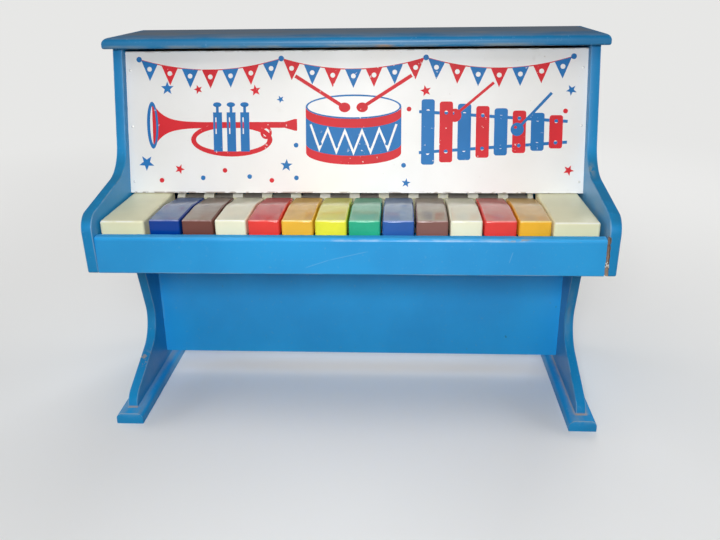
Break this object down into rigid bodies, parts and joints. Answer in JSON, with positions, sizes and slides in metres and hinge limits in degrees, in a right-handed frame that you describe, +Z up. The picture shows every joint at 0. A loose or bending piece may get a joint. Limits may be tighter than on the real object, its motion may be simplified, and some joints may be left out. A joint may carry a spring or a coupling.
{
  "type": "toy piano",
  "caption": "Small upright toy piano: painted wooden case, coloured keys on a rod, each working a hammer that strikes a tuned steel bar inside.",
  "frame": {"origin": "on the floor, under the middle of the piano's box", "axes": "+X to the player's right along the keyboard, +Y from the keyboard to the back, +Z up"},
  "size_m": [0.3944, 0.1934, 0.303],
  "materials": {
    "blue_paint": "satin blue paint over wood",
    "white_paint": "smooth white paint over hardboard",
    "hardboard": "bare hardboard",
    "bare_wood": "bare softwood",
    "cream_plastic": "moulded, slightly yellowed",
    "grey_plastic": "moulded",
    "hammer_plastic": "moulded",
    "steel": "bright steel",
    "felt": "felt",
    "key_blue": "gloss moulding",
    "key_brown": "gloss moulding",
    "key_cream": "gloss moulding",
    "key_red": "gloss moulding",
    "key_orange": "gloss moulding",
    "key_yellow": "gloss moulding",
    "key_green": "gloss moulding"
  },
  "bodies": {
    "case": {"left_side_board": "blue_paint", "right_side_board": "blue_paint", "lid": "blue_paint", "left_foot": "blue_paint", "right_foot": "blue_paint", "keyslip": "blue_paint", "keybed": "blue_paint", "lower_panel": "blue_paint", "back_panel": "hardboard", "front_panel": "white_paint", "panel_cleats": "bare_wood", "left_end_block": "cream_plastic", "right_end_block": "cream_plastic", "key_comb": "cream_plastic", "key_rod": "steel", "front_rail": "bare_wood", "back_rail": "bare_wood", "key_springs": "steel", "felt_strips": "felt", "hammer_rail": "bare_wood", "hammer_rod": "steel", "chime_rails": "bare_wood", "chime_bars": "steel", "chime_pins": "steel"},
    "key_01": {"key_cap_01": "key_blue", "key_lever_01": "grey_plastic"},
    "hammer_action_01": {"hammer_01": "hammer_plastic"},
    "key_02": {"key_cap_02": "key_brown", "key_lever_02": "grey_plastic"},
    "hammer_action_02": {"hammer_02": "hammer_plastic"},
    "key_03": {"key_cap_03": "key_cream", "key_lever_03": "grey_plastic"},
    "hammer_action_03": {"hammer_03": "hammer_plastic"},
    "key_04": {"key_cap_04": "key_red", "key_lever_04": "grey_plastic"},
    "hammer_action_04": {"hammer_04": "hammer_plastic"},
    "key_05": {"key_cap_05": "key_orange", "key_lever_05": "grey_plastic"},
    "hammer_action_05": {"hammer_05": "hammer_plastic"},
    "key_06": {"key_cap_06": "key_yellow", "key_lever_06": "grey_plastic"},
    "hammer_action_06": {"hammer_06": "hammer_plastic"},
    "key_07": {"key_cap_07": "key_green", "key_lever_07": "grey_plastic"},
    "hammer_action_07": {"hammer_07": "hammer_plastic"},
    "key_08": {"key_cap_08": "key_blue", "key_lever_08": "grey_plastic"},
    "hammer_action_08": {"hammer_08": "hammer_plastic"},
    "key_09": {"key_cap_09": "key_brown", "key_lever_09": "grey_plastic"},
    "hammer_action_09": {"hammer_09": "hammer_plastic"},
    "key_10": {"key_cap_10": "key_cream", "key_lever_10": "grey_plastic"},
    "hammer_action_10": {"hammer_10": "hammer_plastic"},
    "key_11": {"key_cap_11": "key_red", "key_lever_11": "grey_plastic"},
    "hammer_action_11": {"hammer_11": "hammer_plastic"},
    "key_12": {"key_cap_12": "key_orange", "key_lever_12": "grey_plastic"},
    "hammer_action_12": {"hammer_12": "hammer_plastic"}
  },
  "joints": [
    {"name": "key_press_01", "type": "hinge", "parent": "case", "child": "key_01", "pos_m": [-0.1331, -0.00071, 0.1724], "axis": [1, 0, 0], "range_deg": [0, 4.5], "stiffness_Nm_per_rad": 0.2, "springref_deg": -6.88, "deforming": ["key_springs"]},
    {"name": "hammer_swing_01", "type": "hinge", "parent": "case", "child": "hammer_action_01", "pos_m": [-0.1331, 0.01663, 0.1876], "axis": [1, 0, 0], "range_deg": [0, 11.3]},
    {"name": "key_press_02", "type": "hinge", "parent": "case", "child": "key_02", "pos_m": [-0.1089, -0.00071, 0.1724], "axis": [1, 0, 0], "range_deg": [0, 4.5], "stiffness_Nm_per_rad": 0.2, "springref_deg": -6.88, "deforming": ["key_springs"]},
    {"name": "hammer_swing_02", "type": "hinge", "parent": "case", "child": "hammer_action_02", "pos_m": [-0.1089, 0.01663, 0.1876], "axis": [1, 0, 0], "range_deg": [0, 11.3]},
    {"name": "key_press_03", "type": "hinge", "parent": "case", "child": "key_03", "pos_m": [-0.0847, -0.00071, 0.1724], "axis": [1, 0, 0], "range_deg": [0, 4.5], "stiffness_Nm_per_rad": 0.2, "springref_deg": -6.88, "deforming": ["key_springs"]},
    {"name": "hammer_swing_03", "type": "hinge", "parent": "case", "child": "hammer_action_03", "pos_m": [-0.0847, 0.01663, 0.1876], "axis": [1, 0, 0], "range_deg": [0, 11.3]},
    {"name": "key_press_04", "type": "hinge", "parent": "case", "child": "key_04", "pos_m": [-0.0605, -0.00071, 0.1724], "axis": [1, 0, 0], "range_deg": [0, 4.5], "stiffness_Nm_per_rad": 0.2, "springref_deg": -6.88, "deforming": ["key_springs"]},
    {"name": "hammer_swing_04", "type": "hinge", "parent": "case", "child": "hammer_action_04", "pos_m": [-0.0605, 0.01663, 0.1876], "axis": [1, 0, 0], "range_deg": [0, 11.3]},
    {"name": "key_press_05", "type": "hinge", "parent": "case", "child": "key_05", "pos_m": [-0.0363, -0.00071, 0.1724], "axis": [1, 0, 0], "range_deg": [0, 4.5], "stiffness_Nm_per_rad": 0.2, "springref_deg": -6.88, "deforming": ["key_springs"]},
    {"name": "hammer_swing_05", "type": "hinge", "parent": "case", "child": "hammer_action_05", "pos_m": [-0.0363, 0.01663, 0.1876], "axis": [1, 0, 0], "range_deg": [0, 11.3]},
    {"name": "key_press_06", "type": "hinge", "parent": "case", "child": "key_06", "pos_m": [-0.0121, -0.00071, 0.1724], "axis": [1, 0, 0], "range_deg": [0, 4.5], "stiffness_Nm_per_rad": 0.2, "springref_deg": -6.88, "deforming": ["key_springs"]},
    {"name": "hammer_swing_06", "type": "hinge", "parent": "case", "child": "hammer_action_06", "pos_m": [-0.0121, 0.01663, 0.1876], "axis": [1, 0, 0], "range_deg": [0, 11.3]},
    {"name": "key_press_07", "type": "hinge", "parent": "case", "child": "key_07", "pos_m": [0.0121, -0.00071, 0.1724], "axis": [1, 0, 0], "range_deg": [0, 4.5], "stiffness_Nm_per_rad": 0.2, "springref_deg": -6.88, "deforming": ["key_springs"]},
    {"name": "hammer_swing_07", "type": "hinge", "parent": "case", "child": "hammer_action_07", "pos_m": [0.0121, 0.01663, 0.1876], "axis": [1, 0, 0], "range_deg": [0, 11.3]},
    {"name": "key_press_08", "type": "hinge", "parent": "case", "child": "key_08", "pos_m": [0.0363, -0.00071, 0.1724], "axis": [1, 0, 0], "range_deg": [0, 4.5], "stiffness_Nm_per_rad": 0.2, "springref_deg": -6.88, "deforming": ["key_springs"]},
    {"name": "hammer_swing_08", "type": "hinge", "parent": "case", "child": "hammer_action_08", "pos_m": [0.0363, 0.01663, 0.1876], "axis": [1, 0, 0], "range_deg": [0, 11.3]},
    {"name": "key_press_09", "type": "hinge", "parent": "case", "child": "key_09", "pos_m": [0.0605, -0.00071, 0.1724], "axis": [1, 0, 0], "range_deg": [0, 4.5], "stiffness_Nm_per_rad": 0.2, "springref_deg": -6.88, "deforming": ["key_springs"]},
    {"name": "hammer_swing_09", "type": "hinge", "parent": "case", "child": "hammer_action_09", "pos_m": [0.0605, 0.01663, 0.1876], "axis": [1, 0, 0], "range_deg": [0, 11.3]},
    {"name": "key_press_10", "type": "hinge", "parent": "case", "child": "key_10", "pos_m": [0.0847, -0.00071, 0.1724], "axis": [1, 0, 0], "range_deg": [0, 4.5], "stiffness_Nm_per_rad": 0.2, "springref_deg": -6.88, "deforming": ["key_springs"]},
    {"name": "hammer_swing_10", "type": "hinge", "parent": "case", "child": "hammer_action_10", "pos_m": [0.0847, 0.01663, 0.1876], "axis": [1, 0, 0], "range_deg": [0, 11.3]},
    {"name": "key_press_11", "type": "hinge", "parent": "case", "child": "key_11", "pos_m": [0.1089, -0.00071, 0.1724], "axis": [1, 0, 0], "range_deg": [0, 4.5], "stiffness_Nm_per_rad": 0.2, "springref_deg": -6.88, "deforming": ["key_springs"]},
    {"name": "hammer_swing_11", "type": "hinge", "parent": "case", "child": "hammer_action_11", "pos_m": [0.1089, 0.01663, 0.1876], "axis": [1, 0, 0], "range_deg": [0, 11.3]},
    {"name": "key_press_12", "type": "hinge", "parent": "case", "child": "key_12", "pos_m": [0.1331, -0.00071, 0.1724], "axis": [1, 0, 0], "range_deg": [0, 4.5], "stiffness_Nm_per_rad": 0.2, "springref_deg": -6.88, "deforming": ["key_springs"]},
    {"name": "hammer_swing_12", "type": "hinge", "parent": "case", "child": "hammer_action_12", "pos_m": [0.1331, 0.01663, 0.1876], "axis": [1, 0, 0], "range_deg": [0, 11.3]}
  ],
  "couplings": [
    {"joint": "hammer_swing_01", "follows": "key_press_01", "ratio": 2.5},
    {"joint": "hammer_swing_02", "follows": "key_press_02", "ratio": 2.5},
    {"joint": "hammer_swing_03", "follows": "key_press_03", "ratio": 2.5},
    {"joint": "hammer_swing_04", "follows": "key_press_04", "ratio": 2.5},
    {"joint": "hammer_swing_05", "follows": "key_press_05", "ratio": 2.5},
    {"joint": "hammer_swing_06", "follows": "key_press_06", "ratio": 2.5},
    {"joint": "hammer_swing_07", "follows": "key_press_07", "ratio": 2.5},
    {"joint": "hammer_swing_08", "follows": "key_press_08", "ratio": 2.5},
    {"joint": "hammer_swing_09", "follows": "key_press_09", "ratio": 2.5},
    {"joint": "hammer_swing_10", "follows": "key_press_10", "ratio": 2.5},
    {"joint": "hammer_swing_11", "follows": "key_press_11", "ratio": 2.5},
    {"joint": "hammer_swing_12", "follows": "key_press_12", "ratio": 2.5}
  ]
}
